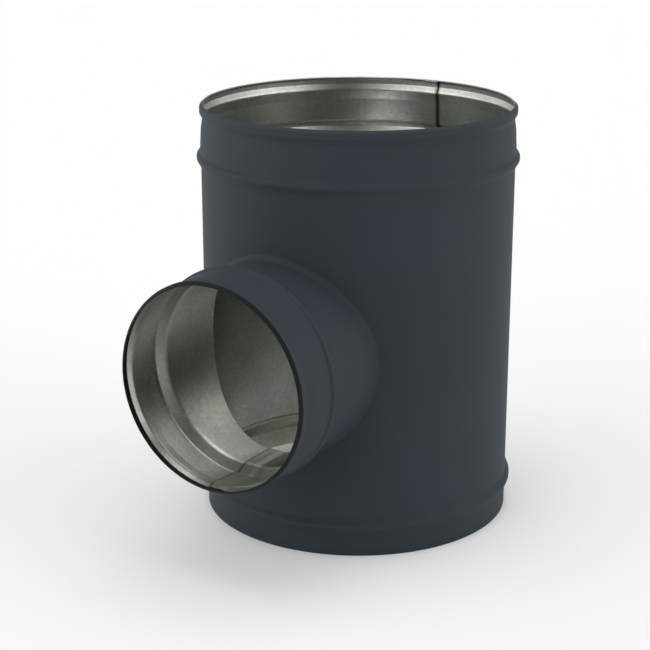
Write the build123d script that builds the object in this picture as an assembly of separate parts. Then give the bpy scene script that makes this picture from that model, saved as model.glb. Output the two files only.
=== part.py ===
from build123d import *
import math
import os

# Reducing tee of rolled sheet steel. The barrel stands on its lower end with its axis on +Z.
# The branch collar leaves along -Y. The origin is on the barrel's axis at its lower edge.

# Ducts that slide over the ends, inside diameters, and the room left between a duct and a spigot.
main_duct_bore = 250.0
branch_duct_bore = 160.0
slip_clearance = 0.4

# Sheet, and the overlap of its rolled edges at a seam.
sheet = 0.9
lap_width = 9.5

# Barrel: plain wall outside.
barrel_height = 331.6
barrel_diameter = 247.8

# Branch collar: mouth from the barrel's axis, axis above the barrel's lower edge, plain wall outside.
branch_reach = 206.5
branch_height = 154.5
branch_diameter = 152.4

# Depth of an end from its edge to the middle of its stop bead: tapered spigots, and plain lower end.
spigot_insertion = 41.6
lower_insertion = 24.5

# Rim bead at a spigot's edge, and how far the neck behind it lies below the level of its crest.
rim_bead_width = 6.8
rim_bead_crest = 2.4
neck_depth = 2.3

# Stop bead, to which the spigot widens again from its neck: width of its crest, and rise over the seat.
stop_bead_crest = 3.0
main_bead_rise = 2.8
branch_bead_rise = 1.8

# Saddle joint: the collar's end inside the barrel, its room in the hole and its root weld outside.
saddle_projection = 1.2
hole_clearance = 0.15
root_weld_leg = 4.0
root_seat_gap = 0.1

barrel_radius = barrel_diameter / 2
branch_radius = branch_diameter / 2
main_seat_radius = main_duct_bore / 2 - slip_clearance
branch_seat_radius = branch_duct_bore / 2 - slip_clearance
main_crest_radius = main_seat_radius + main_bead_rise
branch_crest_radius = branch_seat_radius + branch_bead_rise

# Lays a piece that was made about +Z along the branch's axis.
toward_branch = Pos(0, 0, branch_height) * Rot(90, 0, 0)


def spigot_corners(edge, seat_radius, crest_radius, wall_radius):
    """Outside corners (radius, height) of a spigot, from its edge down to the plain wall."""
    neck_radius = seat_radius - neck_depth
    rim_side = (rim_bead_width - rim_bead_crest) / 2
    rim = [
        (neck_radius, edge),
        (seat_radius, edge - rim_side),
        (seat_radius, edge - rim_side - rim_bead_crest),
        (neck_radius, edge - rim_bead_width),
    ]
    return rim + stop_bead_corners(edge - spigot_insertion, seat_radius, crest_radius, wall_radius)


def stop_bead_corners(middle, upper_radius, crest_radius, lower_radius):
    """Outside corners of a stop bead with sides at 45 degrees, between the walls above and below it."""
    crest_top = middle + stop_bead_crest / 2
    crest_foot = middle - stop_bead_crest / 2
    return [
        (upper_radius, crest_top + abs(crest_radius - upper_radius)),
        (crest_radius, crest_top),
        (crest_radius, crest_foot),
        (lower_radius, crest_foot - abs(crest_radius - lower_radius)),
    ]


def inset(corners, depth):
    """The same line that far inside, with its corners on the mitres."""
    points = [Vector(radius, height) for radius, height in corners]
    runs = [(after - before).normalized() for before, after in zip(points, points[1:])]
    inward = [Vector(run.Y, -run.X) for run in runs]
    moved = []
    for point, first, second in zip(points, inward[:1] + inward, inward + inward[-1:]):
        moved.append(point + (first + second) * (depth / (1 + first.dot(second))))
    return [(point.X, point.Y) for point in moved]


def sheet_section(corners, near, far):
    """Section through sheet, between those two depths inside the outside corners."""
    outline = inset(corners, near) + inset(corners, far)[::-1]
    return make_face(Polyline(*[(radius, 0, height) for radius, height in outline], close=True))


def rolled_wall(corners, seam_angle):
    """Sheet rolled about +Z, with the inner lap of its seam at that angle."""
    inner_radius = corners[-1][0] - sheet
    lap_angle = math.degrees(lap_width / inner_radius)
    ring = revolve(sheet_section(corners, 0.0, sheet), Axis.Z)
    lap = revolve(sheet_section(corners, sheet / 2, 2 * sheet), Axis.Z, lap_angle)
    return Rot(0, 0, seam_angle) * (ring + Rot(0, 0, -lap_angle / 2) * lap)


def upright(radius):
    """Round bar on the barrel's axis, as tall as the barrel."""
    return extrude(Circle(radius), barrel_height)


def branch_bar(radius, length):
    """Round bar on the branch's axis, from the barrel's axis out."""
    return toward_branch * extrude(Circle(radius), length)


# Barrel: rolled wall with its seam opposite the branch, and the saddle hole for the collar.
upper_end = spigot_corners(barrel_height, main_seat_radius, main_crest_radius, barrel_radius)
lower_end = stop_bead_corners(lower_insertion, barrel_radius, main_crest_radius, barrel_radius)
barrel = rolled_wall(upper_end + lower_end + [(barrel_radius, 0.0)], 90)
barrel -= branch_bar(branch_radius + hole_clearance, branch_reach)

# Branch collar: rolled wall with its seam underneath.
branch_end = spigot_corners(branch_reach, branch_seat_radius, branch_crest_radius, branch_radius)
collar = toward_branch * rolled_wall(branch_end + [(branch_radius, 0.0)], -90)

# Root weld along the crease between the two walls, seated on the barrel's outside.
stop_bead_foot = branch_end[-1][1]
joined = upright(barrel_radius) + branch_bar(branch_radius, stop_bead_foot)
crease = joined.edges().filter_by(GeomType.BSPLINE)
root = chamfer(crease, root_weld_leg)
root -= upright(barrel_radius + root_seat_gap)
root -= branch_bar(branch_radius - sheet, branch_reach)

# The collar's end is cut to a saddle that stands a little inside the barrel's wall.
inner_wall_radius = barrel_radius - sheet
branch_collar = collar + root - upright(inner_wall_radius - saddle_projection)

os.makedirs("parts", exist_ok=True)
export_step(barrel, "parts/barrel.step")
export_step(branch_collar, "parts/branch_collar.step")
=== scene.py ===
"""Reducing duct tee of rolled sheet: painted outside, bare inside, on a pale studio floor."""
import logging
import math
from dataclasses import dataclass, field
from enum import Enum

import bpy
from mathutils import Matrix, Vector


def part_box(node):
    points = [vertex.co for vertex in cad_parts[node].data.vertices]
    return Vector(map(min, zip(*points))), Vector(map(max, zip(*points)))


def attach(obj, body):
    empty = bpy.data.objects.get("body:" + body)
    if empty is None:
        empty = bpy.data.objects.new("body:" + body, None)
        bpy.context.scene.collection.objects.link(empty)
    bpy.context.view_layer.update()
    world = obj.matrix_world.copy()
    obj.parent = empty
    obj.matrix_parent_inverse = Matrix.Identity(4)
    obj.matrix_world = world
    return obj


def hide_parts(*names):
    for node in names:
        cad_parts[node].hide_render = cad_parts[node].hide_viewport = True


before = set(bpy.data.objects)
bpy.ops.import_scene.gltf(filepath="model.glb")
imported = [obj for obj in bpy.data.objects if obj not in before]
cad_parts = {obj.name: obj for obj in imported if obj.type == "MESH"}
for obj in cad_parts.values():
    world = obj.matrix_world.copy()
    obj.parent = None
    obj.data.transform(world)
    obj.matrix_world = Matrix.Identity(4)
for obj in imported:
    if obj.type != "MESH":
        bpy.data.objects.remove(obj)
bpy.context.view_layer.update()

MM = 0.001
LOG = logging.getLogger("duct_tee")

Point = tuple[float, float]
Loop = list[tuple[float, float, float]]
Colour = tuple[float, float, float, float]
Coats = dict[str, bpy.types.Material]

BLACK: Colour = (0.0, 0.0, 0.0, 1.0)
WHITE: Colour = (1.0, 1.0, 1.0, 1.0)
MIDDLE_NOISE = (0.3, 0.7)


class Side(Enum):
    """Which side of the sheet a face lies on."""

    OUTSIDE = 0
    INSIDE = 1
    EDGE = 2


@dataclass(frozen=True)
class Corner:
    """Corner of a rolled section, with the bend that rounds it. Millimetres."""

    radius: float
    height: float
    bend: float = 0.0


@dataclass(frozen=True)
class SpigotForm:
    """Rolled form of an end that a duct slides over. Millimetres."""

    rim_side: float = 2.0
    rim_crest: float = 4.6
    rim_bend: float = 2.0
    neck_depth: float = 2.3
    neck_from_edge: float = 10.8
    neck_bend: float = 3.0
    crease_from_edge: float = 19.0
    crease_rise: float = 1.3
    crease_bend: float = 2.0
    insertion: float = 41.6
    stop_bead_crest: float = 3.0
    bead_bend: float = 2.6
    shoulder_run: float = 1.6
    shoulder_bend: float = 10.0

    def stop_bead(self, middle: float, above: float, crest: float, below: float) -> list[Corner]:
        """Gives the corners of a stop bead, steep above and easier below.

        Args:
            middle: height of the bead's middle.
            above: radius of the wall above it.
            crest: radius of its crest.
            below: radius of the wall below it.

        Returns:
            The corners from the top down.
        """
        crest_top = middle + self.stop_bead_crest / 2
        crest_foot = middle - self.stop_bead_crest / 2
        return [
            Corner(above, crest_top + crest - above, self.bead_bend),
            Corner(crest, crest_top, self.bead_bend),
            Corner(crest, crest_foot, self.bead_bend),
            Corner(below, crest_foot - self.shoulder_run * (crest - below), self.shoulder_bend),
        ]

    def spigot(self, edge: float, seat: float, crest: float, wall: float) -> list[Corner]:
        """Gives the corners of a whole spigot.

        Args:
            edge: height of the sheet's edge.
            seat: radius that the duct slides over.
            crest: radius of the stop bead's crest.
            wall: radius of the plain wall below the stop bead.

        Returns:
            The corners from the edge down to the plain wall.
        """
        neck = seat - self.neck_depth
        crest_top = edge - self.rim_side
        return [
            Corner(neck, edge),
            Corner(seat, crest_top, self.rim_bend),
            Corner(seat, crest_top - self.rim_crest, self.rim_bend),
            Corner(neck, edge - self.neck_from_edge, self.neck_bend),
            Corner(neck + self.crease_rise, edge - self.crease_from_edge, self.crease_bend),
            *self.stop_bead(edge - self.insertion, seat, crest, wall),
        ]


@dataclass(frozen=True)
class SheetLine:
    """Line of a rolled sheet in section, from which its two faces are drawn. Millimetres."""

    corners: tuple[Corner, ...]
    tightest_bend: float = 0.2
    bend_steps: int = 6

    def face(self, depth: float) -> list[Point]:
        """Draws one face of the sheet with rounded bends.

        Args:
            depth: distance of the face inside the outside line.

        Returns:
            Points (radius, height), as many for every depth.
        """
        points = [Vector((corner.radius, corner.height)) for corner in self.corners]
        runs = [(after - before).normalized() for before, after in zip(points, points[1:])]
        inward = [Vector((run.y, -run.x)) for run in runs]
        drawn = [points[0] + inward[0] * depth]
        for index in range(1, len(points) - 1):
            first, second = inward[index - 1], inward[index]
            place = points[index] + (first + second) * (depth / (1 + first.dot(second)))
            turn = runs[index - 1].x * runs[index].y - runs[index - 1].y * runs[index].x
            bend = self.corners[index].bend
            bend = bend + depth if turn > 0 else max(bend - depth, self.tightest_bend)
            drawn.extend(self._arc(place, runs[index - 1], runs[index], bend))
        drawn.append(points[-1] + inward[-1] * depth)
        return [(point.x, point.y) for point in drawn]

    def _arc(self, place: Vector, before: Vector, after: Vector, bend: float) -> list[Vector]:
        """Rounds one corner.

        Args:
            place: the sharp corner.
            before: direction of the run into it.
            after: direction of the run out of it.
            bend: radius of the bend.

        Returns:
            Points along the arc.
        """
        turn = math.atan2(before.x * after.y - before.y * after.x, before.dot(after))
        setback = bend * math.tan(abs(turn) / 2)
        start = place - before * setback
        normal = Vector((-before.y, before.x)) * math.copysign(bend, turn)
        centre = start + normal
        arc = []
        for step in range(self.bend_steps + 1):
            spin = Matrix.Rotation(turn * step / self.bend_steps, 2)
            arc.append(centre + spin @ -normal)
        return arc


@dataclass(frozen=True)
class Lap:
    """Lap seam of a rolled sheet, with a step on one side and a run-out on the other.

    Lengths are in millimetres, the angle is in radians.
    """

    angle: float
    width: float = 9.5
    run_out: float = 4.0

    def columns(self, radius: float, count: int) -> list[tuple[float, int, float]]:
        """Spreads the columns of a rolled sheet round its axis.

        Args:
            radius: inside radius of the plain wall.
            count: number of columns outside the lap.

        Returns:
            Angle, number of sheet thicknesses and the seam's dirt and painted shade of each column, with
            two columns at the lap's edge.
        """
        span = self.width / radius
        run_out = self.run_out / radius
        rest = 2 * math.pi - span - run_out
        inside_lap = max(2, round(count * span / rest))
        start = self.angle - span / 2
        # The columns at the lap's edges carry the seam's dirt and painted shade at full strength, the
        # others none.
        lap = [(start + span * step / inside_lap, 2, 0.0) for step in range(1, inside_lap + 1)]
        wall = [(start + span + run_out + rest * step / count, 1, 0.0) for step in range(count)]
        step_up = [(start + 2 * math.pi, layers, 1.0) for layers in (1, 2)]
        return [(start, 2, 1.0), *lap, *wall, *step_up]


class Blank:
    """Flat sheet before rolling: x is the angle in radians, y the radius and z the height in metres."""

    def __init__(self, name: str) -> None:
        """Starts an empty blank.

        Args:
            name: name of the piece that it becomes.
        """
        self.name = name
        self.loops: list[Loop] = []
        self.dirt_and_shade: list[float] = []
        self.sides: list[Side] = []
        self.shades: list[float] = []

    def add_loop(self, loop: Loop, dirt_and_shade: float) -> None:
        """Adds the closed section at one column, as angle in radians, radius and height in millimetres.

        Args:
            loop: the section's points.
            dirt_and_shade: how dark the seam's dirt and painted shade are there.
        """
        self.loops.append(loop)
        self.dirt_and_shade.append(dirt_and_shade)

    def mesh(self) -> bpy.types.Mesh:
        """Joins the sections into one mesh.

        Returns:
            The mesh, with the side of the sheet on each face, and the rim's painted shade and the seam's
            dirt and painted shade on each point.
        """
        rows = len(self.loops[0])
        points = []
        for loop in self.loops:
            points += [(angle, radius * MM, height * MM) for angle, radius, height in loop]
        faces, sides = [], []
        for column in range(len(self.loops) - 1):
            for row in range(rows):
                below = (row + 1) % rows
                here, beside = column * rows, (column + 1) * rows
                faces.append((here + row, here + below, beside + below, beside + row))
                sides.append(self.sides[row].value)
        mesh = bpy.data.meshes.new(self.name)
        mesh.from_pydata(points, [], faces)
        mesh.attributes.new("side", "INT", "FACE").data.foreach_set("value", sides)
        # Painted shade: a near-black band on the branch mouth's rim, stored as a value per point.
        shades = (self.shades + [0.0] * (rows - len(self.shades))) * len(self.loops)
        mesh.attributes.new("rim_shade", "FLOAT", "POINT").data.foreach_set("value", shades)
        # Dirt and painted shade along the lap seam, stored as a value per point.
        dirt_and_shade = [value for value in self.dirt_and_shade for _ in range(rows)]
        mesh.attributes.new("seam_grime", "FLOAT", "POINT").data.foreach_set("value", dirt_and_shade)
        return mesh


class RollTree:
    """Geometry Nodes tree that rolls a blank about its axis, lays it in place and cuts its saddle hole."""

    hole_sides = 288
    weld_distance = 0.001 * MM
    sharpest_bend = math.radians(40)

    def __init__(self) -> None:
        """Builds the tree once for all rolled pieces."""
        self.tree = bpy.data.node_groups.new("roll_sheet", "GeometryNodeTree")
        self.identifiers: dict[str, str] = {}
        self._socket("Geometry", "NodeSocketGeometry", "OUTPUT")
        self._socket("Blank", "NodeSocketGeometry")
        self._socket("Lean", "NodeSocketVector")
        self._socket("Place", "NodeSocketVector")
        self._socket("Cut Hole", "NodeSocketBool")
        self._socket("Hole Radius", "NodeSocketFloat")
        self._socket("Hole Height", "NodeSocketFloat")
        self._socket("Hole Depth", "NodeSocketFloat")
        for side in Side:
            self._socket(side.name, "NodeSocketMaterial")
        self.group_in = self._node("NodeGroupInput")
        self._wire()

    def _socket(self, name: str, kind: str, way: str = "INPUT") -> None:
        """Adds a named socket to the tree and keeps its identifier."""
        item = self.tree.interface.new_socket(name, in_out=way, socket_type=kind)
        self.identifiers[name] = item.identifier

    def _node(self, kind: str, **settings: object) -> bpy.types.Node:
        """Adds a node with those settings and input values.

        Args:
            kind: Blender's name for the node.
            settings: properties, or input values under the input's number as in_0.

        Returns:
            The node.
        """
        node = self.tree.nodes.new(kind)
        for name, value in settings.items():
            if name.startswith("in_"):
                node.inputs[int(name[3:])].default_value = value
            else:
                setattr(node, name, value)
        return node

    def _link(self, source: bpy.types.NodeSocket, target: bpy.types.NodeSocket) -> None:
        """Joins two sockets."""
        self.tree.links.new(source, target)

    def _math(self, operation: str, *sockets: bpy.types.NodeSocket) -> bpy.types.NodeSocket:
        """Adds a math node.

        Args:
            operation: Blender's name for it.
            sockets: the one or two values that it works on.

        Returns:
            Its output.
        """
        node = self._node("ShaderNodeMath", operation=operation)
        for source, target in zip(sockets, node.inputs):
            self._link(source, target)
        return node.outputs[0]

    def _wire(self) -> None:
        """Wires the whole tree: flat pattern, roll, place, hole, finishes."""
        flat = self._node("GeometryNodeInputPosition")
        apart = self._node("ShaderNodeSeparateXYZ")
        self._link(flat.outputs[0], apart.inputs[0])
        angle, radius, height = apart.outputs
        pattern = self._node("ShaderNodeCombineXYZ")
        self._link(self._math("MULTIPLY", angle, radius), pattern.inputs[0])
        self._link(height, pattern.inputs[1])
        store = self._node("GeometryNodeStoreNamedAttribute", data_type="FLOAT2", domain="CORNER")
        store.inputs["Name"].default_value = "flat_pattern"
        self._link(self.group_in.outputs["Blank"], store.inputs["Geometry"])
        self._link(pattern.outputs[0], store.inputs["Value"])

        rolled = self._node("ShaderNodeCombineXYZ")
        self._link(self._math("MULTIPLY", radius, self._math("COSINE", angle)), rolled.inputs[0])
        self._link(self._math("MULTIPLY", radius, self._math("SINE", angle)), rolled.inputs[1])
        self._link(height, rolled.inputs[2])
        roll = self._node("GeometryNodeSetPosition")
        self._link(store.outputs[0], roll.inputs["Geometry"])
        self._link(rolled.outputs[0], roll.inputs["Position"])
        weld = self._node("GeometryNodeMergeByDistance")
        weld.inputs["Distance"].default_value = self.weld_distance
        self._link(roll.outputs[0], weld.inputs["Geometry"])
        lay = self._node("GeometryNodeTransform")
        self._link(weld.outputs[0], lay.inputs["Geometry"])
        self._link(self.group_in.outputs["Place"], lay.inputs["Translation"])
        self._link(self.group_in.outputs["Lean"], lay.inputs["Rotation"])

        choice = self._node("GeometryNodeSwitch", input_type="GEOMETRY")
        self._link(self.group_in.outputs["Cut Hole"], choice.inputs["Switch"])
        self._link(lay.outputs[0], choice.inputs["False"])
        self._link(self._cut(lay.outputs[0]), choice.inputs["True"])
        self._finish(choice.outputs[0])

    def _cut(self, wall: bpy.types.NodeSocket) -> bpy.types.NodeSocket:
        """Cuts the saddle hole along -Y.

        Args:
            wall: the rolled wall.

        Returns:
            The wall with its hole.
        """
        bar = self._node("GeometryNodeMeshCylinder", fill_type="NGON")
        bar.inputs["Vertices"].default_value = self.hole_sides
        self._link(self.group_in.outputs["Hole Radius"], bar.inputs["Radius"])
        self._link(self.group_in.outputs["Hole Depth"], bar.inputs["Depth"])
        mark = self._node("GeometryNodeStoreNamedAttribute", data_type="INT", domain="FACE")
        mark.inputs["Name"].default_value = "side"
        mark.inputs["Value"].default_value = Side.EDGE.value
        self._link(bar.outputs["Mesh"], mark.inputs["Geometry"])
        half = self._node("ShaderNodeMath", operation="MULTIPLY", in_1=-0.5)
        self._link(self.group_in.outputs["Hole Depth"], half.inputs[0])
        spot = self._node("ShaderNodeCombineXYZ")
        self._link(half.outputs[0], spot.inputs[1])
        self._link(self.group_in.outputs["Hole Height"], spot.inputs[2])
        lay = self._node("GeometryNodeTransform")
        lay.inputs["Rotation"].default_value = (math.pi / 2, 0, 0)
        self._link(mark.outputs[0], lay.inputs["Geometry"])
        self._link(spot.outputs[0], lay.inputs["Translation"])
        cut = self._node("GeometryNodeMeshBoolean", operation="DIFFERENCE", solver="EXACT")
        self._link(wall, cut.inputs["Mesh 1"])
        self._link(lay.outputs[0], cut.inputs["Mesh 2"])
        return cut.outputs["Mesh"]

    def _finish(self, shape: bpy.types.NodeSocket) -> None:
        """Realizes the shape, gives each side its finish and ends the tree.

        Args:
            shape: the rolled and cut piece.
        """
        whole = self._node("GeometryNodeRealizeInstances")
        self._link(shape, whole.inputs[0])
        last = whole.outputs[0]
        side_of = self._node("GeometryNodeInputNamedAttribute", data_type="INT")
        side_of.inputs["Name"].default_value = "side"
        for side in Side:
            same = self._node("FunctionNodeCompare", data_type="INT", operation="EQUAL")
            self._link(side_of.outputs["Attribute"], same.inputs["A"])
            same.inputs["B"].default_value = side.value
            coat = self._node("GeometryNodeSetMaterial")
            self._link(last, coat.inputs["Geometry"])
            self._link(same.outputs[0], coat.inputs["Selection"])
            self._link(self.group_in.outputs[side.name], coat.inputs["Material"])
            last = coat.outputs[0]
        end = self._node("NodeGroupOutput")
        self._link(last, end.inputs[0])

    def roll(self, blank: Blank, **inputs: object) -> bpy.types.Object:
        """Rolls a blank into a finished piece.

        Args:
            blank: the flat sheet.
            inputs: values of the tree's inputs, under their names with _ for a space.

        Returns:
            The piece, as a plain mesh object at the origin.
        """
        flat = bpy.data.objects.new(blank.name + "_blank", blank.mesh())
        bpy.context.scene.collection.objects.link(flat)
        modifier = flat.modifiers.new("roll", "NODES")
        modifier.node_group = self.tree
        for name, value in inputs.items():
            modifier[self.identifiers[name.replace("_", " ")]] = value
        graph = bpy.context.evaluated_depsgraph_get()
        mesh = bpy.data.meshes.new_from_object(flat.evaluated_get(graph), depsgraph=graph)
        mesh.name = blank.name
        mesh.shade_smooth()
        mesh.set_sharp_from_angle(angle=self.sharpest_bend)
        flat.modifiers.remove(modifier)
        bpy.data.objects.remove(flat)
        piece = bpy.data.objects.new(blank.name, mesh)
        bpy.context.scene.collection.objects.link(piece)
        return piece


class ShaderTree:
    """Short way to add and join nodes in one material, group or world."""

    def __init__(self, tree: bpy.types.NodeTree) -> None:
        """Works on that tree."""
        self.tree = tree

    def node(self, kind: str, **inputs: object) -> bpy.types.Node:
        """Adds a node.

        Args:
            kind: Blender's name for the node, without ShaderNode.
            inputs: properties of the node, or its inputs under their names with _ for a space,
                each a value or a socket.

        Returns:
            The node.
        """
        node = self.tree.nodes.new("ShaderNode" + kind)
        for name, value in inputs.items():
            if hasattr(node, name):
                setattr(node, name, value)
            else:
                self.feed(node, name.replace("_", " "), value)
        return node

    def feed(self, node: bpy.types.Node, name: str, value: object) -> None:
        """Sets an input of a node, or joins a socket to it.

        Args:
            node: the node.
            name: the input's name or number.
            value: value or socket.
        """
        socket = node.inputs[int(name)] if name.isdigit() else node.inputs[name]
        if isinstance(value, bpy.types.NodeSocket):
            self.tree.links.new(value, socket)
        else:
            socket.default_value = value

    def math(self, operation: str, first: object, second: object = 0.0) -> bpy.types.NodeSocket:
        """Adds a math node.

        Args:
            operation: Blender's name for it.
            first: value or socket.
            second: value or socket.

        Returns:
            Its output.
        """
        node = self.node("Math", operation=operation)
        self.feed(node, "0", first)
        self.feed(node, "1", second)
        return node.outputs[0]

    def scale(self, vector: bpy.types.NodeSocket, factors: bpy.types.NodeSocket) -> bpy.types.NodeSocket:
        """Multiplies a vector part by part.

        Args:
            vector: the vector.
            factors: a factor for each part.

        Returns:
            The product.
        """
        node = self.node("VectorMath", operation="MULTIPLY")
        self.feed(node, "0", vector)
        self.feed(node, "1", factors)
        return node.outputs[0]

    def spread(
        self,
        value: bpy.types.NodeSocket,
        low: float,
        high: float,
        to_low: float = 0.0,
        to_high: float = 1.0,
    ) -> bpy.types.NodeSocket:
        """Maps a value from one range to another, clamped.

        Args:
            value: the value.
            low: start of its range.
            high: end of its range.
            to_low: what the start becomes.
            to_high: what the end becomes.

        Returns:
            The mapped value.
        """
        limits = {"From_Min": low, "From_Max": high, "To_Min": to_low, "To_Max": to_high}
        return self.node("MapRange", Value=value, **limits).outputs["Result"]

    def mix(self, share: object, first: object, second: object) -> bpy.types.NodeSocket:
        """Mixes two colours.

        Args:
            share: how much of the second colour shows.
            first: colour or socket.
            second: colour or socket.

        Returns:
            The mixed colour.
        """
        node = self.tree.nodes.new("ShaderNodeMix")
        node.data_type = "RGBA"
        self.feed(node, "0", share)
        self.feed(node, "6", first)
        self.feed(node, "7", second)
        return node.outputs[2]


def new_group(name: str, inputs: dict[str, float], outputs: list[str]) -> bpy.types.NodeTree:
    """Starts a shader node group of plain values.

    Args:
        name: name of the group.
        inputs: first values by name.
        outputs: names of the outputs.

    Returns:
        The group with its sockets, still empty.
    """
    group = bpy.data.node_groups.new(name, "ShaderNodeTree")
    kind = "NodeSocketFloat"
    for label, value in inputs.items():
        group.interface.new_socket(label, in_out="INPUT", socket_type=kind).default_value = value
    for label in outputs:
        group.interface.new_socket(label, in_out="OUTPUT", socket_type=kind)
    return group


def cloudy_group() -> bpy.types.NodeTree:
    """Builds the shared group of soft clouds and fine grain on the piece's own coordinates.

    Returns:
        The group, with the outputs Cloud and Grain from 0 to 1.
    """
    group = new_group("soft_clouds", {"Cloud Scale": 12.0, "Grain Scale": 900.0}, ["Cloud", "Grain"])
    tree = ShaderTree(group)
    given = group.nodes.new("NodeGroupInput").outputs
    place = tree.node("TexCoord").outputs["Object"]
    cloud = tree.node("TexNoise", Vector=place, Scale=given["Cloud Scale"], Detail=4.0, Roughness=0.55)
    grain = tree.node("TexNoise", Vector=place, Scale=given["Grain Scale"], Detail=2.0, Roughness=0.5)
    end = group.nodes.new("NodeGroupOutput")
    tree.feed(end, "Cloud", tree.spread(cloud.outputs["Fac"], *MIDDLE_NOISE))
    tree.feed(end, "Grain", grain.outputs["Fac"])
    return group


@dataclass(frozen=True)
class PaintFinish:
    """Satin anthracite paint over the outside of the sheet, with a near-black painted shade on the branch's
    mouth rim.
    """

    name: str = "satin_anthracite_paint"
    pale: Colour = (0.036, 0.047, 0.057, 1.0)
    deep: Colour = (0.029, 0.038, 0.046, 1.0)
    smoothest: float = 0.62
    dullest: float = 0.70
    # Near-black colour of the painted shade on the mouth's rim.
    rim_painted_shade: Colour = (0.007, 0.008, 0.008, 1.0)
    gloss: float = 0.2
    peel: float = 0.03
    peel_depth: float = 0.3 * MM
    cloud_scale: float = 9.0
    grain_scale: float = 620.0

    def material(self, cloudy: bpy.types.NodeTree) -> bpy.types.Material:
        """Builds the paint.

        Args:
            cloudy: the shared group of clouds and grain.

        Returns:
            The material.
        """
        material = bpy.data.materials.new(self.name)
        material.use_nodes = True
        tree = ShaderTree(material.node_tree)
        scales = {"Cloud_Scale": self.cloud_scale, "Grain_Scale": self.grain_scale}
        clouds = tree.node("Group", node_tree=cloudy, **scales)
        shader = material.node_tree.nodes["Principled BSDF"]
        cloud, grain = clouds.outputs["Cloud"], clouds.outputs["Grain"]
        # Painted shade: this mask mixes the paint towards near black on the mouth's rim.
        rim_painted_shade = tree.node("Attribute", attribute_name="rim_shade").outputs["Fac"]
        tree.feed(shader, "Base Color", tree.mix(rim_painted_shade, tree.mix(cloud, self.deep, self.pale), self.rim_painted_shade))
        tree.feed(shader, "Roughness", tree.spread(cloud, 0.0, 1.0, self.smoothest, self.dullest))
        shader.inputs["Specular IOR Level"].default_value = self.gloss
        bump = tree.node("Bump", Strength=self.peel, Distance=self.peel_depth, Height=grain)
        tree.feed(shader, "Normal", bump.outputs[0])
        return material


@dataclass(frozen=True)
class ZincSkin:
    """Spangle, roller streaks and faint stains of a zinc-coated sheet. Scales are per metre."""

    spangle_scale: float = 520.0
    streak_pitch: float = 430.0
    streak_run: float = 9.0
    cloud_scale: float = 22.0
    grain_scale: float = 700.0
    stain_scale: float = 8.0
    stain_from: float = 0.55
    stain_to: float = 0.75
    cloud_share: float = 0.45
    spangle_share: float = 0.35
    streak_share: float = 0.2

    def group(self) -> bpy.types.NodeTree:
        """Builds the shader group.

        Returns:
            The group, with the outputs Tone and Stain from 0 to 1 and Relief for a bump.
        """
        inputs = {
            "Spangle Scale": self.spangle_scale,
            "Streak Pitch": self.streak_pitch,
            "Stain Scale": self.stain_scale,
        }
        group = new_group("zinc_skin", inputs, ["Tone", "Stain", "Relief"])
        tree = ShaderTree(group)
        given = group.nodes.new("NodeGroupInput").outputs
        place = tree.node("TexCoord").outputs["Object"]
        flake = tree.node("TexVoronoi", Vector=place, Scale=given["Spangle Scale"], feature="F1")
        spangle = tree.node("SeparateColor", Color=flake.outputs["Color"]).outputs[0]
        cloud = tree.node("TexNoise", Vector=place, Scale=self.cloud_scale, Detail=5.0, Roughness=0.6)
        grain = tree.node("TexNoise", Vector=place, Scale=self.grain_scale, Detail=2.0)
        stain = tree.node("TexNoise", Vector=place, Scale=given["Stain Scale"], Detail=3.0)
        stretch = tree.node("CombineXYZ", X=self.streak_run, Y=given["Streak Pitch"], Z=1.0)
        pattern = tree.node("UVMap", uv_map="flat_pattern").outputs["UV"]
        pulled = tree.scale(pattern, stretch.outputs[0])
        streak = tree.node("TexNoise", Vector=pulled, Scale=1.0, Detail=3.0)
        patches = tree.spread(cloud.outputs["Fac"], *MIDDLE_NOISE)
        lines = tree.spread(streak.outputs["Fac"], *MIDDLE_NOISE)
        tone = tree.math("MULTIPLY", patches, self.cloud_share)
        tone = tree.math("ADD", tone, tree.math("MULTIPLY", spangle, self.spangle_share))
        tone = tree.math("ADD", tone, tree.math("MULTIPLY", lines, self.streak_share))
        end = group.nodes.new("NodeGroupOutput")
        tree.feed(end, "Tone", tone)
        tree.feed(end, "Stain", tree.spread(stain.outputs["Fac"], self.stain_from, self.stain_to))
        tree.feed(end, "Relief", grain.outputs["Fac"])
        return group


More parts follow.
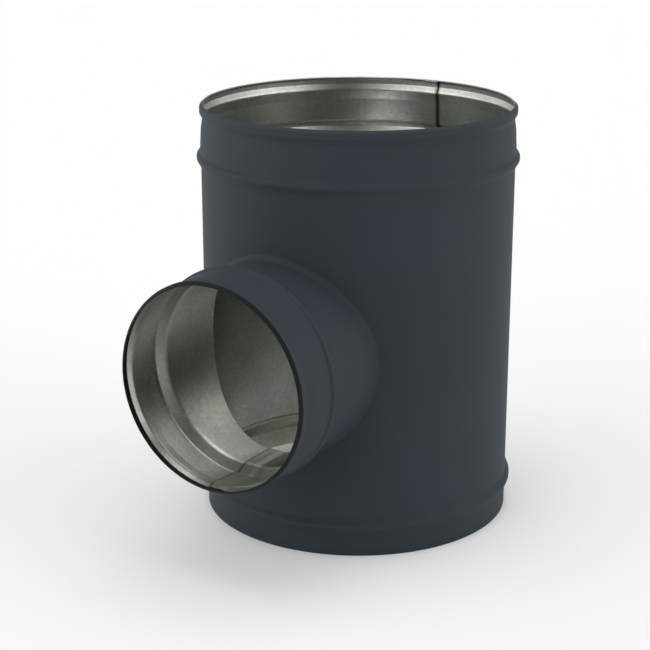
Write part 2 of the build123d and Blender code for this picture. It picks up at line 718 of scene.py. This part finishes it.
@dataclass(frozen=True)
class BareMetalFinish:
    """Bare zinc-coated steel on the inside of the sheet, darkened along the lap seam with dirt and painted
    shade.
    """

    name: str = "bare_zinc_steel"
    skin: ZincSkin = ZincSkin()
    pale: Colour = (0.635, 0.65, 0.615, 1.0)
    dull: Colour = (0.36, 0.375, 0.34, 1.0)
    stain: Colour = (0.42, 0.43, 0.30, 1.0)
    # Dark colour along the lap seam: dirt, and the painted shade of the lap's gap.
    dirt_and_shade: Colour = (0.08, 0.08, 0.05, 1.0)
    dirt_and_shade_fade: float = 1.1
    smoothest: float = 0.24
    dullest: float = 0.40
    relief: float = 0.05
    relief_depth: float = 0.2 * MM
    cloud_scale: float = 5.0

    def material(self, cloudy: bpy.types.NodeTree) -> bpy.types.Material:
        """Builds the bare metal.

        Args:
            cloudy: the shared group of clouds and grain.

        Returns:
            The material.
        """
        material = bpy.data.materials.new(self.name)
        material.use_nodes = True
        tree = ShaderTree(material.node_tree)
        skin = tree.node("Group", node_tree=self.skin.group())
        clouds = tree.node("Group", node_tree=cloudy, Cloud_Scale=self.cloud_scale)
        shader = material.node_tree.nodes["Principled BSDF"]
        tone, grain = skin.outputs["Tone"], skin.outputs["Relief"]
        share = tree.math("MULTIPLY", skin.outputs["Stain"], clouds.outputs["Cloud"])
        skin_colour = tree.mix(share, tree.mix(tone, self.dull, self.pale), self.stain)
        # Darkens the metal along the lap seam with dirt and the painted shade of the lap's gap.
        dirt_and_shade = tree.node("Attribute", attribute_name="seam_grime").outputs["Fac"]
        dirt_and_shade = tree.math("POWER", dirt_and_shade, self.dirt_and_shade_fade)
        tree.feed(shader, "Base Color", tree.mix(dirt_and_shade, skin_colour, self.dirt_and_shade))
        tree.feed(shader, "Roughness", tree.spread(tone, 0.0, 1.0, self.dullest, self.smoothest))
        shader.inputs["Metallic"].default_value = 1.0
        bump = tree.node("Bump", Strength=self.relief, Distance=self.relief_depth, Height=grain)
        tree.feed(shader, "Normal", bump.outputs[0])
        return material


@dataclass(frozen=True)
class CutEdgeFinish:
    """Bright cut edge of the sheet."""

    name: str = "cut_sheet_edge"
    bright: Colour = (0.62, 0.62, 0.60, 1.0)
    dull: Colour = (0.30, 0.30, 0.30, 1.0)
    roughness: float = 0.35
    cloud_scale: float = 60.0

    def material(self, cloudy: bpy.types.NodeTree) -> bpy.types.Material:
        """Builds the cut edge.

        Args:
            cloudy: the shared group of clouds and grain.

        Returns:
            The material.
        """
        material = bpy.data.materials.new(self.name)
        material.use_nodes = True
        tree = ShaderTree(material.node_tree)
        clouds = tree.node("Group", node_tree=cloudy, Cloud_Scale=self.cloud_scale)
        shader = material.node_tree.nodes["Principled BSDF"]
        tree.feed(shader, "Base Color", tree.mix(clouds.outputs["Cloud"], self.dull, self.bright))
        shader.inputs["Metallic"].default_value = 1.0
        shader.inputs["Roughness"].default_value = self.roughness
        return material


@dataclass
class Finishes:
    """The three finishes of the sheet, made once."""

    paint: PaintFinish = field(default_factory=PaintFinish)
    bare: BareMetalFinish = field(default_factory=BareMetalFinish)
    cut: CutEdgeFinish = field(default_factory=CutEdgeFinish)

    def inputs(self) -> Coats:
        """Builds the materials.

        Returns:
            The materials by the name of the side that each one covers.
        """
        cloudy = cloudy_group()
        sides = zip(Side, (self.paint, self.bare, self.cut))
        return {side.name: finish.material(cloudy) for side, finish in sides}


@dataclass
class Barrel:
    """Upright rolled wall with a spigot above, a plain spigot below and the saddle hole. Millimetres."""

    form: SpigotForm = field(default_factory=SpigotForm)
    sheet: float = 0.9
    wall_radius: float = 123.9
    seat_radius: float = 124.6
    lower_insertion: float = 24.5
    hole_radius: float = 76.35
    columns: int = 256

    def __post_init__(self) -> None:
        """Takes the height and the crest from the frame."""
        low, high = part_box("barrel")
        self.height = (high[2] - low[2]) / MM
        self.crest_radius = (high[0] - low[0]) / MM / 2

    def line(self) -> SheetLine:
        """Lays out the section.

        Returns:
            The outside line from the upper edge down to the lower one.
        """
        wall, crest = self.wall_radius, self.crest_radius
        upper = self.form.spigot(self.height, self.seat_radius, crest, wall)
        lower = self.form.stop_bead(self.lower_insertion, wall, crest, wall)
        return SheetLine((*upper, *lower, Corner(wall, 0.0)))

    def build(self, tree: RollTree, finishes: Coats, hole_height: float) -> bpy.types.Object:
        """Builds and dresses the barrel.

        Args:
            tree: the rolling tree.
            finishes: materials by side.
            hole_height: height of the branch's axis.

        Returns:
            The piece.
        """
        line = self.line()
        outside, one, two = (line.face(depth * self.sheet) for depth in (0, 1, 2))
        blank = Blank("rolled_barrel")
        for angle, layers, dirt_and_shade in Lap(math.pi / 2).columns(self.wall_radius - self.sheet, self.columns):
            inside = one if layers == 1 else two
            loop = [*outside, one[-1], *reversed(inside), one[0]]
            blank.add_loop([(angle, radius, height) for radius, height in loop], dirt_and_shade)
        runs = len(outside) - 1
        blank.sides = [Side.OUTSIDE] * runs + [Side.EDGE] * 2 + [Side.INSIDE] * runs + [Side.EDGE] * 2
        return tree.roll(
            blank,
            Cut_Hole=True,
            Hole_Radius=self.hole_radius * MM,
            Hole_Height=hole_height * MM,
            Hole_Depth=2 * self.crest_radius * MM,
            **finishes,
        )


@dataclass
class BranchCollar:
    """Rolled wall of the branch, with its spigot, its saddle end and its smooth root. Millimetres."""

    form: SpigotForm = field(default_factory=SpigotForm)
    sheet: float = 0.9
    wall_radius: float = 76.2
    seat_radius: float = 79.6
    saddle_radius: float = 121.8
    barrel_radius: float = 123.9
    root_fillet: float = 5.3
    root_seat_gap: float = 0.02
    root_steps: int = 10
    foot_run: float = 4.5
    # Rows at the mouth that carry the painted shade, outside and on the inside of the rim.
    painted_shade_rows: int = 6
    inner_painted_shade_rows: int = 8
    columns: int = 224

    def __post_init__(self) -> None:
        """Takes the reach, the crest and the axis from the frame."""
        low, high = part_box("branch_collar")
        self.reach = -low[1] / MM
        self.crest_radius = (high[0] - low[0]) / MM / 2
        self.axis_height = (high[2] + low[2]) / MM / 2

    def line(self) -> SheetLine:
        """Lays out the section.

        Returns:
            The outside line from the mouth to the plain wall, short of the root.
        """
        corners = self.form.spigot(self.reach, self.seat_radius, self.crest_radius, self.wall_radius)
        foot = corners[-1].height - self.foot_run
        return SheetLine((*corners, Corner(self.wall_radius, foot)))

    def on_cylinder(self, radius: float, angle: float, upright: float) -> float:
        """Gives how far along the branch a line at that angle and radius meets an upright cylinder."""
        return math.sqrt(upright**2 - (radius * math.cos(angle)) ** 2)

    def root(self, angle: float) -> Loop:
        """Rolls a ball along the crease between the two walls.

        Args:
            angle: place round the branch.

        Returns:
            Points of the root from the collar's wall out to the barrel's wall.
        """
        ball = self.root_fillet
        orbit = self.wall_radius + ball
        along = self.on_cylinder(orbit, angle, self.barrel_radius + ball)
        centre = Vector((orbit * math.cos(angle), orbit * math.sin(angle), along))
        on_collar = Vector((-math.cos(angle), -math.sin(angle), 0))
        on_barrel = Vector((-centre.x, 0, -centre.z)).normalized()
        opening = on_collar.angle(on_barrel)
        feather = math.acos(1 - self.root_seat_gap / ball)
        points = []
        for step in range(self.root_steps + 1):
            turn = (opening - feather) * step / self.root_steps
            way = (on_collar * math.sin(opening - turn) + on_barrel * math.sin(turn)) / math.sin(opening)
            spot = centre + way * ball
            drift = math.atan2(spot.y, spot.x) - angle
            drift = (drift + math.pi) % (2 * math.pi) - math.pi
            points.append((angle + drift, math.hypot(spot.x, spot.y), spot.z))
        return points

    def build(self, tree: RollTree, finishes: Coats) -> bpy.types.Object:
        """Builds and dresses the collar.

        Args:
            tree: the rolling tree.
            finishes: materials by side.

        Returns:
            The piece.
        """
        line = self.line()
        outside, one, two = (line.face(depth * self.sheet) for depth in (0, 1, 2))
        blank = Blank("rolled_branch_collar")
        inner_radius = self.wall_radius - self.sheet
        for angle, layers, dirt_and_shade in Lap(-math.pi / 2).columns(inner_radius, self.columns):
            inside = one if layers == 1 else two
            end_inside = self.wall_radius - layers * self.sheet
            seat = self.on_cylinder(self.wall_radius, angle, self.barrel_radius + self.root_seat_gap)
            loop = [(angle, radius, height) for radius, height in outside]
            loop += self.root(angle)
            loop.append((angle, self.wall_radius, seat))
            for radius in (self.wall_radius, inner_radius, end_inside):
                loop.append((angle, radius, self.on_cylinder(radius, angle, self.saddle_radius)))
            loop += [(angle, radius, height) for radius, height in reversed(inside)]
            loop.append((angle, *one[0]))
            blank.add_loop(loop, dirt_and_shade)
        count = len(outside)
        # The inside rows at the mouth take the paint as well, and the rows at both ends of the list carry
        # the painted shade.
        blank.sides = [Side.OUTSIDE] * (count + self.root_steps + 2) + [Side.EDGE] * 2
        inner_painted_shade = self.inner_painted_shade_rows + 2
        blank.sides += [Side.INSIDE] * (count + 2 - inner_painted_shade) + [Side.OUTSIDE] * inner_painted_shade
        plain = len(blank.sides) - self.painted_shade_rows - inner_painted_shade
        blank.shades = [1.0] * self.painted_shade_rows + [0.0] * plain + [1.0] * inner_painted_shade
        return tree.roll(
            blank,
            Cut_Hole=False,
            Lean=(math.pi / 2, 0, 0),
            Place=(0, 0, self.axis_height * MM),
            **finishes,
        )


@dataclass(frozen=True)
class PhotoCamera:
    """Camera at the photograph's place. Metres, degrees."""

    lens: float = 89.95
    sensor: float = 36.0
    distance: float = 1.26512
    height: float = 0.55097
    azimuth: float = 30.94
    pitch: float = 17.687
    yaw: float = -1.186
    roll: float = -0.023

    def build(self) -> bpy.types.Object:
        """Sets the camera up and makes it the scene's own.

        Returns:
            The camera.
        """
        data = bpy.data.cameras.new("photo_camera")
        data.lens = self.lens
        data.sensor_width = self.sensor
        camera = bpy.data.objects.new("photo_camera", data)
        around = math.radians(self.azimuth)
        turn = Matrix.Rotation(around - math.radians(self.yaw), 4, "Z")
        tip = Matrix.Rotation(math.pi / 2 - math.radians(self.pitch), 4, "X")
        lean = Matrix.Rotation(math.radians(self.roll), 4, "Z")
        place = Vector((math.sin(around) * self.distance, -math.cos(around) * self.distance, self.height))
        camera.matrix_world = Matrix.Translation(place) @ turn @ tip @ lean
        bpy.context.scene.collection.objects.link(camera)
        bpy.context.scene.camera = camera
        return camera


@dataclass(frozen=True)
class LightRing:
    """Soft light round the object at one height above the horizon. Degrees, 180 is towards the camera."""

    elevation: float
    stops: tuple[tuple[float, float], ...]


@dataclass(frozen=True)
class Studio:
    """Pale floor under a dome of soft light, dark behind the camera. Metres, degrees."""

    floor_size: float = 60.0
    floor_colour: Colour = (0.80, 0.80, 0.80, 1.0)
    floor_glow: float = 0.19
    glow_from: float = 0.10
    glow_to: float = 0.13
    rings: tuple[LightRing, ...] = (
        LightRing(
            elevation=0.0,
            stops=(
                *((0, 0.2), (60, 2.0), (95, 2.6), (125, 1.4)),
                *((165, 0.0), (205, 0.0), (265, 2.4), (335, 0.3)),
            ),
        ),
        LightRing(
            elevation=30.0,
            stops=(
                *((0, 0.2), (60, 0.6), (120, 2.2), (150, 1.6)),
                *((180, 0.1), (210, 0.0), (240, 2.4), (285, 0.6)),
            ),
        ),
        LightRing(
            elevation=60.0,
            stops=(
                *((0, 1.0), (45, 0.3), (120, 0.3), (180, 0.0)),
                *((255, 0.3), (300, 1.3), (330, 1.8)),
            ),
        ),
        LightRing(elevation=90.0, stops=((0, 3.5),)),
    )

    def build(self) -> None:
        """Builds the floor and the dome."""
        self._floor()
        self._dome()

    def _floor(self) -> None:
        """Lays the pale floor at the object's foot, whiter to the eye outside the barrel."""
        half = self.floor_size / 2
        mesh = bpy.data.meshes.new("studio_floor")
        corners = [(-half, -half, 0), (half, -half, 0), (half, half, 0), (-half, half, 0)]
        mesh.from_pydata(corners, [], [(0, 1, 2, 3)])
        floor = bpy.data.objects.new("studio_floor", mesh)
        bpy.context.scene.collection.objects.link(floor)
        material = bpy.data.materials.new("pale_floor")
        material.use_nodes = True
        shader = material.node_tree.nodes["Principled BSDF"]
        shader.inputs["Base Color"].default_value = self.floor_colour
        shader.inputs["Roughness"].default_value = 1.0
        shader.inputs["Specular IOR Level"].default_value = 0.0
        shader.inputs["Emission Strength"].default_value = self.floor_glow
        tree = ShaderTree(material.node_tree)
        ray = tree.node("LightPath")
        seen = tree.math("MAXIMUM", ray.outputs["Is Camera Ray"], ray.outputs["Is Glossy Ray"])
        seen = tree.math("MAXIMUM", seen, ray.outputs["Is Transmission Ray"])
        reach = tree.node("VectorMath", operation="LENGTH")
        tree.feed(reach, "0", tree.node("TexCoord").outputs["Object"])
        clear = tree.spread(reach.outputs["Value"], self.glow_from, self.glow_to)
        share = tree.math("MULTIPLY", seen, clear)
        tree.feed(shader, "Emission Color", tree.mix(share, BLACK, WHITE))
        mesh.materials.append(material)

    def _dome(self) -> None:
        """Makes the world a dome of light rings, blended from one height to the next."""
        world = bpy.data.worlds.new("studio_dome")
        bpy.context.scene.world = world
        world.use_nodes = True
        tree = ShaderTree(world.node_tree)
        way = tree.node("SeparateXYZ", Vector=tree.node("TexCoord").outputs["Generated"])
        across, along, up = way.outputs
        around = tree.math("ARCTAN2", across, tree.math("MULTIPLY", along, -1.0))
        turn = tree.math("ADD", tree.math("DIVIDE", around, 2 * math.pi), self.turn())
        turn = tree.math("FRACT", turn)
        height = tree.math("DEGREES", tree.math("ARCSINE", up))
        light = self._ring(tree, self.rings[0], turn)
        for lower, upper in zip(self.rings, self.rings[1:]):
            share = tree.spread(height, lower.elevation, upper.elevation)
            light = tree.mix(share, light, self._ring(tree, upper, turn))
        tree.feed(world.node_tree.nodes["Background"], "Color", light)

    def _ring(self, tree: ShaderTree, ring: LightRing, turn: bpy.types.NodeSocket) -> bpy.types.NodeSocket:
        """Adds one ring of light.

        Args:
            tree: the world's tree.
            ring: the ring.
            turn: share of a turn round the object.

        Returns:
            Its light in that direction.
        """
        ramp = tree.node("ValToRGB", Fac=turn)
        stops = ramp.color_ramp.elements
        levels = (*ring.stops, (360.0, ring.stops[0][1]))
        while len(stops) < len(levels):
            stops.new(0.5)
        for stop, (angle, level) in zip(stops, levels):
            stop.position = angle / 360
            stop.color = (level, level, level, 1.0)
        return ramp.outputs["Color"]

    def turn(self) -> float:
        """Gives the share of a turn that puts the ring's start behind the object, seen from the camera."""
        return 0.5 - PhotoCamera.azimuth / 360


def seat_in_frame(piece: bpy.types.Object, node: str) -> None:
    """Lets a piece stand for its CAD node on the fixed body.

    Args:
        piece: the dressed piece.
        node: the CAD node that it replaces.
    """
    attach(piece, "root")
    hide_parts(node)
    LOG.info("%s: %d faces", piece.name, len(piece.data.polygons))


def main() -> None:
    """Builds the pieces in order, then the studio and the camera."""
    logging.basicConfig(level=logging.INFO)
    bpy.context.scene.view_settings.view_transform = "Standard"
    tree = RollTree()
    finishes = Finishes().inputs()
    collar = BranchCollar()
    seat_in_frame(Barrel().build(tree, finishes, collar.axis_height), "barrel")
    seat_in_frame(collar.build(tree, finishes), "branch_collar")
    Studio().build()
    PhotoCamera().build()


if __name__ == "__main__":
    main()
